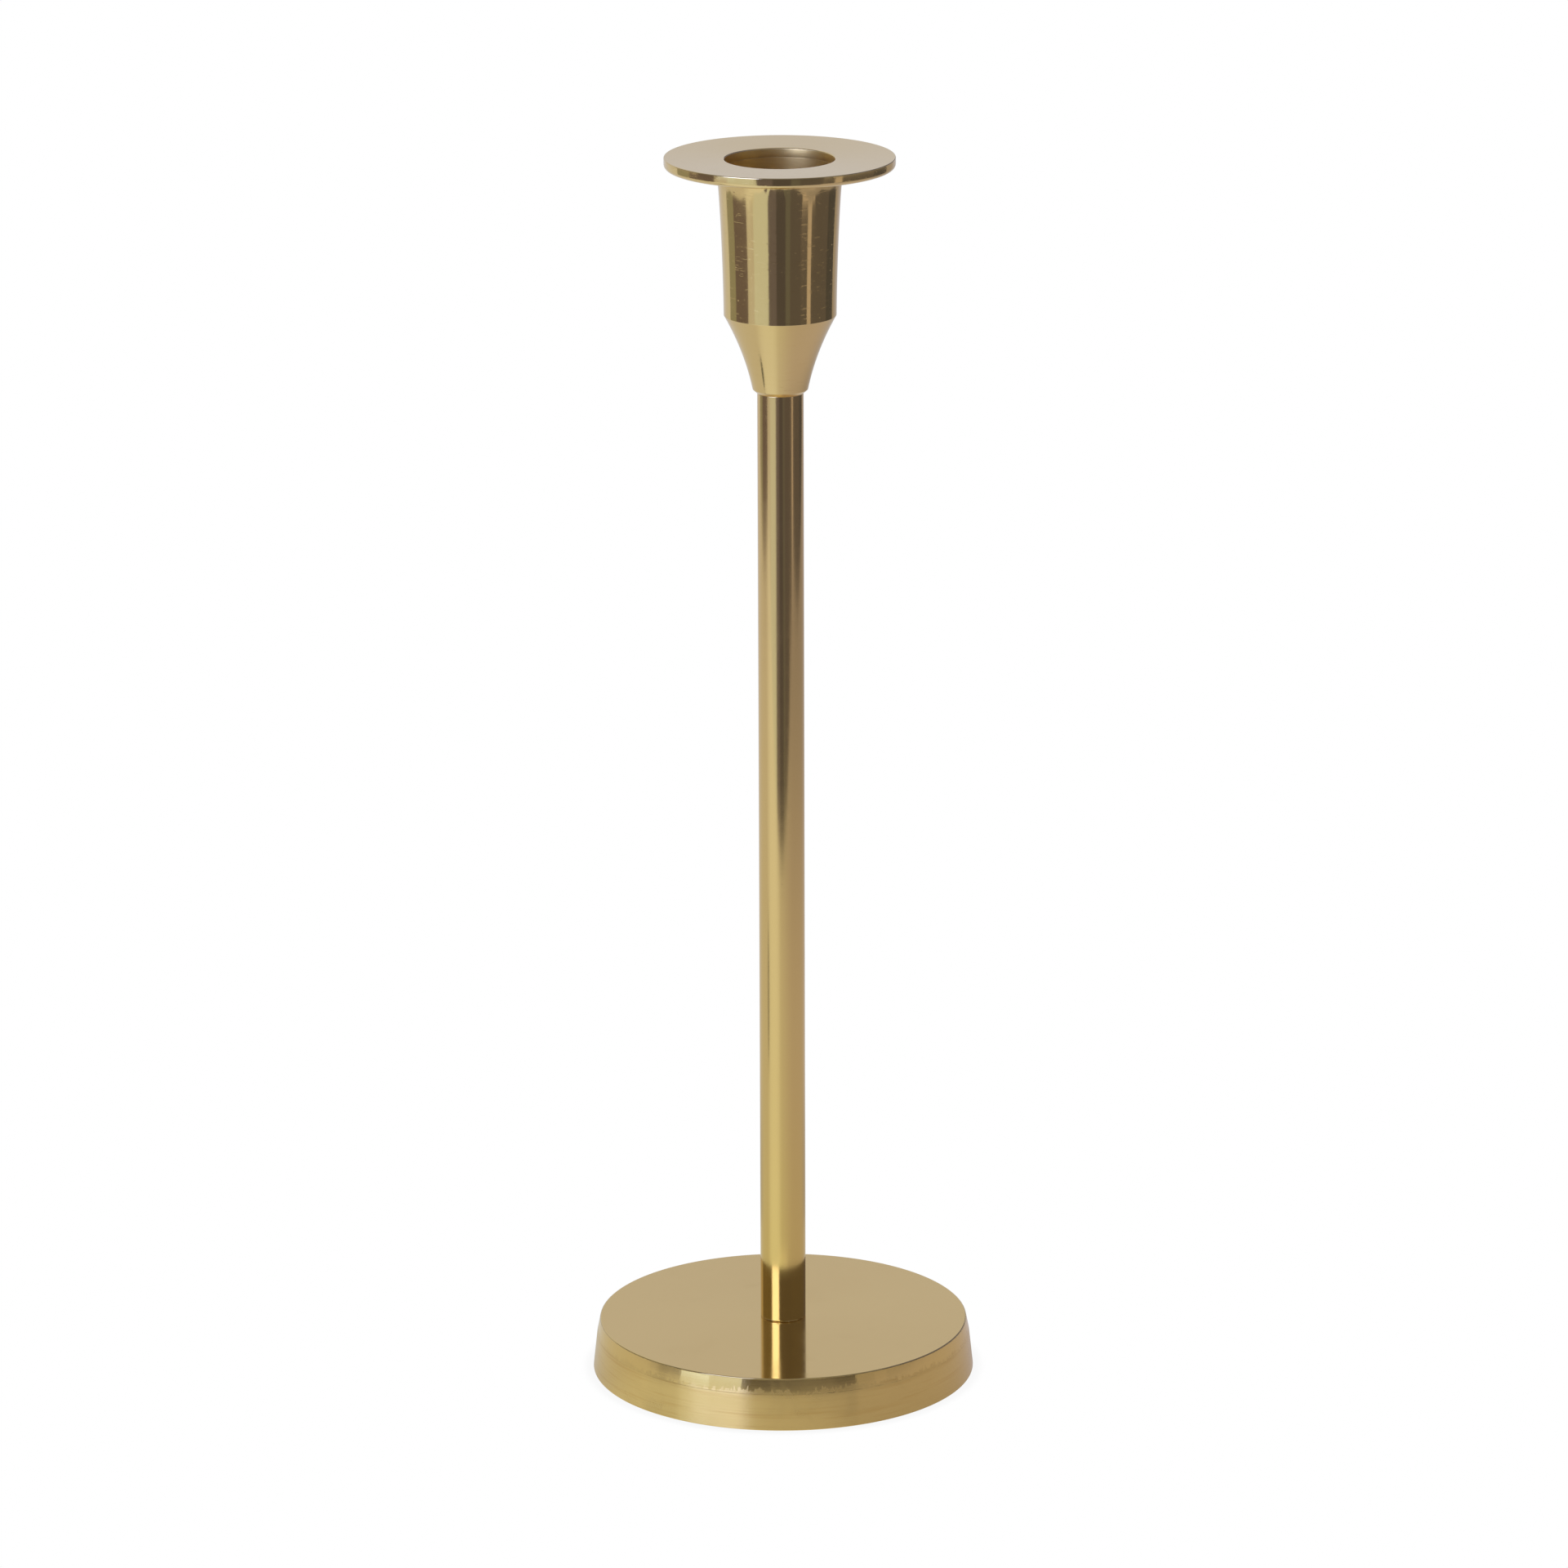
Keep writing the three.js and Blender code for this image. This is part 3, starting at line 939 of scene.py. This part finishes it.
# azimuths run from the camera's side, positive to the right
panels = {
    "backWall": ("high", (168, 233), (0.67, 0.68, 0.76)),
    "backWallFoot": ("rim", (150, 210), (0.67, 0.68, 0.76)),
    "leftWall": ("high", (-127, -57), (0.25, 0.24, 0.25)),
    "softbox": ("high", (-59, -21.5), (2.6, 3.2, 7.0)),
    "softboxFoot": ("rim", (-64, -45), (1.14, 1.44, 2.30)),
    "softboxCorner": ("rim", (-45, -25), (0.89, 1.04, 1.40)),
    "leftWallFoot": ("rim", (-150, -88), (0.58, 0.55, 0.56)),
    "rightWallFoot": ("rim", (44, 150), (0.45, 0.42, 0.43)),
    "leftCard": ("low", (-168, -122), (0.74, 0.76, 0.80)),
    "leftShade": ("low", (-122, -101), (0.34, 0.35, 0.32)),
    "leftCurtain": ("low", (-101, -68), (0.18, 0.15, 0.185)),
    "whiteCard": ("low", (-68, -53), (0.64, 0.64, 0.70)),
    "brightCard": ("low", (-53, -23), (0.72, 0.80, 0.90)),
    "doorFrame": ("low", (-23, -7), (0.178, 0.162, 0.23)),
    "doorway": ("low", (-7, 11), (0.105, 0.098, 0.13)),
    "doorEdge": ("low", (11, 20), (0.165, 0.167, 0.19)),
    "rightStrip": ("low", (56, 64.5), (0.60, 0.53, 0.57)),
    "rightShade": ("low", (107, 132), (0.09, 0.09, 0.115)),
    "rightCard": ("low", (132, 168), (0.42, 0.38, 0.38)),
    "doorwayTop": ("rim", (-24, 44), (0.110, 0.105, 0.12)),
    "leftSweep": ("deep", (-150, -50), (0.74, 0.75, 0.76)),
    "brightSweep": ("deep", (-50, -23), (0.74, 0.82, 0.92)),
    "deepFrame": ("deep", (-23, -7), (0.178, 0.162, 0.23)),
    "deepDoorway": ("deep", (-7, 11), (0.105, 0.098, 0.13)),
    "deepEdge": ("deep", (11, 20), (0.165, 0.167, 0.19)),
    "rightSweep": ("deep", (43, 73), (0.60, 0.53, 0.57)),
}


def glowMaterial(name, glow):
    material = bpy.data.materials.new(name)
    material.use_nodes = True
    tree = material.node_tree
    tree.nodes.clear()
    light = addNode(tree, "ShaderNodeEmission", {"Color": (*glow, 1.0), "Strength": 1.0})
    result = tree.nodes.new("ShaderNodeOutputMaterial")
    tree.links.new(light.outputs[0], result.inputs[0])
    return material


def onlyInReflections(piece):
    piece.visible_camera = False
    piece.visible_diffuse = False
    piece.visible_shadow = False
    piece.visible_transmission = False


def hangPanel(name, row, azimuths, glow):
    radius, (low, high) = panelRows[row]
    first, last = (math.radians(a) for a in azimuths)
    count = max(4, int(math.degrees(last - first) / 3))
    mesh = bmesh.new()
    columns = []
    for step in range(count + 1):
        azimuth = first + (last - first) * step / count
        x, y = radius * math.sin(azimuth), -radius * math.cos(azimuth)
        columns.append((mesh.verts.new((x, y, low)), mesh.verts.new((x, y, high))))
    for here, there in zip(columns, columns[1:]):
        mesh.faces.new((here[0], there[0], there[1], here[1]))
    piece = finishMesh(name, mesh)
    piece.data.materials.append(glowMaterial(name, glow))
    onlyInReflections(piece)


# where each shade of the table starts and is complete. Distances are in metres from the axis.
# Sides are cosines of the angle to the side, forward is towards the camera, and steepness is
# the height of a ray's direction.
tableShades = {
    "rightSide": (-0.25, 0.95),
    "rightDistance": (0.20, 0.60),
    "shadowBesideBase": (0.040, 0.055, 0.90, 1.0),
    "frontSide": (0.86, 1.0),
    "frontDistance": (0.088, 0.070),
    "backSide": (-0.3, -0.8),
    "backStart": (0.085, 0.105),
    "backEnd": (0.22, 0.12),
    "shadowEdge": (1.3, 0.3),
    "cooler": (0.06, 0.20),
    "sheenRight": (0.31, 0.12),
    "sheenLeft": (-0.62, -0.25, 0.0, 0.85),
    "sheenForward": (0.0, 0.3),
    "softSheen": (0.78, 1.0),
    "softSteepness": (0.35, 0.80, 1.0, 0.75),
    "clearSteepness": (0.20, 0.12),
}


# How bright a white table looks in the brass, all of it painted light and shade: lighter on the left,
# dimmer further off on the right and behind, a painted shadow right beside the base, lit in front of
# the base, bluer further off, with a painted sheen towards the softbox and a small painted shadow of the
# candlestick on it
def paintTableLight():
    shades = tableShades
    material = bpy.data.materials.new("tablePaintedLight")
    material.use_nodes = True
    tree = material.node_tree
    tree.nodes.clear()
    place = addNode(tree, "ShaderNodeTexCoord").outputs["Object"]
    away = addNode(tree, "ShaderNodeVectorMath", {0: place}, operation="LENGTH").outputs["Value"]
    outward = addNode(tree, "ShaderNodeVectorMath", {0: place}, operation="NORMALIZE").outputs[0]
    rightward = addNode(tree, "ShaderNodeSeparateXYZ", {0: outward}).outputs[0]

    def ramp(value, first, last, low=0.0, high=1.0):
        return addNode(tree, "ShaderNodeMapRange", {
            "Value": value, "From Min": first, "From Max": last, "To Min": low, "To Max": high,
        }, interpolation_type="SMOOTHSTEP").outputs[0]

    # painted light: the table lighter on the left and darker on the right
    right = ramp(rightward, *shades["rightSide"])
    sideLight = mixColor(tree, right, (*studio["tableLeft"], 1), (*studio["tableRight"], 1))
    falloff = ramp(away, *shades["rightDistance"], 0.0, 1 - studio["rightFalloff"])
    falloff = calc(tree, "MULTIPLY", right, falloff)
    # painted shadow right beside the base, and painted dimming further off on the right
    bright = calc(tree, "SUBTRACT", ramp(away, *shades["shadowBesideBase"]), falloff)
    backward = addNode(tree, "ShaderNodeSeparateXYZ", {0: outward}).outputs[1]
    forward = calc(tree, "MULTIPLY", backward, -1.0)
    inFront = ramp(forward, *shades["frontSide"])
    inFront = calc(tree, "MULTIPLY", inFront, ramp(away, *shades["frontDistance"]))
    bright = calc(tree, "MULTIPLY_ADD", inFront, studio["frontGlow"], bright)
    band = calc(tree, "MULTIPLY", ramp(away, *shades["backStart"]), ramp(away, *shades["backEnd"]))
    behind = calc(tree, "MULTIPLY", ramp(forward, *shades["backSide"]), band)
    bright = calc(tree, "MULTIPLY_ADD", behind, -studio["backShade"], bright)

    # painted shadow of the candlestick on the table, long along its direction from the axis
    shadowPlace, halves, strength = studio["castShadow"]
    offset = addNode(tree, "ShaderNodeVectorMath", {0: place, 1: shadowPlace}, operation="SUBTRACT").outputs[0]
    aim = Vector(shadowPlace).normalized()
    parts = []
    for axis, half in zip(((aim.x, aim.y, 0.0), (-aim.y, aim.x, 0.0)), halves):
        reach = addNode(tree, "ShaderNodeVectorMath", {0: offset, 1: axis}, operation="DOT_PRODUCT")
        part = calc(tree, "DIVIDE", reach.outputs["Value"], half)
        parts.append(calc(tree, "MULTIPLY", part, part))
    shadowShare = ramp(calc(tree, "ADD", *parts), *shades["shadowEdge"])
    bright = calc(tree, "MULTIPLY_ADD", shadowShare, -strength, bright)
    cooler = ramp(away, *shades["cooler"], studio["tableNearBlue"], studio["tableFarBlue"])
    blue = calc(tree, "MULTIPLY", bright, cooler)
    tint = addNode(tree, "ShaderNodeCombineXYZ", {0: bright, 1: bright, 2: blue}).outputs[0]
    paintedLight = addNode(tree, "ShaderNodeVectorMath", {0: sideLight, 1: tint}, operation="MULTIPLY").outputs[0]

    # a painted sheen: the softbox's reflection in the table, painted in as extra glow
    azimuth = studio["sheenAzimuth"]
    towards = addNode(tree, "ShaderNodeVectorMath", {
        0: outward, 1: (math.sin(azimuth), -math.cos(azimuth), 0.0),
    }, operation="DOT_PRODUCT").outputs["Value"]
    incoming = addNode(tree, "ShaderNodeNewGeometry").outputs["Incoming"]
    steep = addNode(tree, "ShaderNodeSeparateXYZ", {0: incoming}).outputs[2]
    aside = addNode(tree, "ShaderNodeVectorMath", {
        0: outward, 1: (math.cos(azimuth), math.sin(azimuth), 0.0),
    }, operation="DOT_PRODUCT").outputs["Value"]
    # seen along the table the painted sheen has clear sides, and from above it is soft and weaker
    clear = ramp(aside, *shades["sheenRight"])
    clear = calc(tree, "MULTIPLY", clear, ramp(aside, *shades["sheenLeft"]))
    clear = calc(tree, "MULTIPLY", clear, ramp(towards, *shades["sheenForward"]))
    soft = ramp(towards, *shades["softSheen"])
    soft = calc(tree, "MULTIPLY", soft, ramp(steep, *shades["softSteepness"]))
    low = ramp(steep, *shades["clearSteepness"])
    share = addNode(tree, "ShaderNodeMix", {0: low, 2: soft, 3: clear}, data_type="FLOAT").outputs[0]
    sheen = addNode(tree, "ShaderNodeEmission", {"Color": (*studio["sheenGlow"], 1), "Strength": share})
    glow = addNode(tree, "ShaderNodeEmission", {"Color": paintedLight})
    both = addNode(tree, "ShaderNodeAddShader", {0: glow.outputs[0], 1: sheen.outputs[0]})
    result = tree.nodes.new("ShaderNodeOutputMaterial")
    tree.links.new(both.outputs[0], result.inputs[0])
    return material


def layTable():
    left, front, right, back = studio["tableBox"]
    mesh = bmesh.new()
    mesh.faces.new([mesh.verts.new((x, y, 0.05 * mm)) for x, y in
                    ((left, front), (right, front), (right, back), (left, back))])
    piece = finishMesh("table", mesh)
    piece.data.materials.append(paintTableLight())
    onlyInReflections(piece)


# The floor is plain white light, darkened a little where the candlestick meets it
def layFloor():
    mesh = bmesh.new()
    bmesh.ops.create_circle(mesh, cap_ends=True, radius=12, segments=96)
    piece = finishMesh("floor", mesh)
    material = bpy.data.materials.new("floorPaint")
    material.use_nodes = True
    tree = material.node_tree
    tree.nodes.clear()
    first, last, tone = studio["contact"]
    place = addNode(tree, "ShaderNodeTexCoord").outputs["Object"]
    away = addNode(tree, "ShaderNodeVectorMath", {0: place}, operation="LENGTH").outputs["Value"]
    strength = addNode(tree, "ShaderNodeMapRange", {
        "Value": away, "From Min": first, "From Max": last, "To Min": tone, "To Max": 1.0,
    }, interpolation_type="SMOOTHERSTEP").outputs[0]
    white = addNode(tree, "ShaderNodeEmission", {"Color": (1, 1, 1, 1), "Strength": strength})
    result = tree.nodes.new("ShaderNodeOutputMaterial")
    tree.links.new(white.outputs[0], result.inputs[0])
    piece.data.materials.append(material)
    piece.visible_glossy = False


# The ceiling only shows in the rounded edges and in the socket
def hangCeiling():
    radius, height, glow = studio["ceiling"]
    mesh = bmesh.new()
    bmesh.ops.create_circle(mesh, cap_ends=True, radius=radius, segments=64,
                            matrix=Matrix.Translation((0, 0, height)))
    piece = finishMesh("ceiling", mesh)
    piece.data.materials.append(glowMaterial("ceiling", glow))
    onlyInReflections(piece)


def setWorld():
    world = bpy.data.worlds.new("studioRoom")
    world.use_nodes = True
    bpy.context.scene.world = world
    tree = world.node_tree
    tree.nodes.clear()
    direction = addNode(tree, "ShaderNodeTexCoord").outputs["Generated"]
    height = addNode(tree, "ShaderNodeSeparateXYZ", {0: direction}).outputs[2]
    share = addNode(tree, "ShaderNodeMapRange", {
        "Value": height, "From Min": -0.03, "From Max": 0.02,
    }, interpolation_type="SMOOTHSTEP").outputs[0]
    room = mixColor(tree, share, (*studio["roomBelow"], 1), (*studio["roomAbove"], 1))
    dim = addNode(tree, "ShaderNodeBackground", {"Color": room, "Strength": 1.0})
    white = addNode(tree, "ShaderNodeBackground", {"Color": (1, 1, 1, 1), "Strength": 1.0})
    seen = addNode(tree, "ShaderNodeLightPath").outputs["Is Camera Ray"]
    mixed = addNode(tree, "ShaderNodeMixShader", {0: seen, 1: dim.outputs[0], 2: white.outputs[0]})
    result = tree.nodes.new("ShaderNodeOutputWorld")
    tree.links.new(mixed.outputs[0], result.inputs[0])


def hangLight(name, place, size, power):
    data = bpy.data.lights.new(name, "AREA")
    data.shape = "DISK"
    data.size = size
    data.energy = power
    light = bpy.data.objects.new(name, data)
    bpy.context.scene.collection.objects.link(light)
    light.location = place
    light.rotation_euler = (-Vector(place)).to_track_quat("-Z", "Y").to_euler()
    light.visible_glossy = False
    light.visible_camera = False


for panelName, panelSetup in panels.items():
    hangPanel(panelName, *panelSetup)
layTable()
layFloor()
hangCeiling()
setWorld()
for lightName in ("keyLight", "fillLight"):
    hangLight(lightName, *studio[lightName])
bpy.context.scene.view_settings.view_transform = "Standard"
print("studio made")
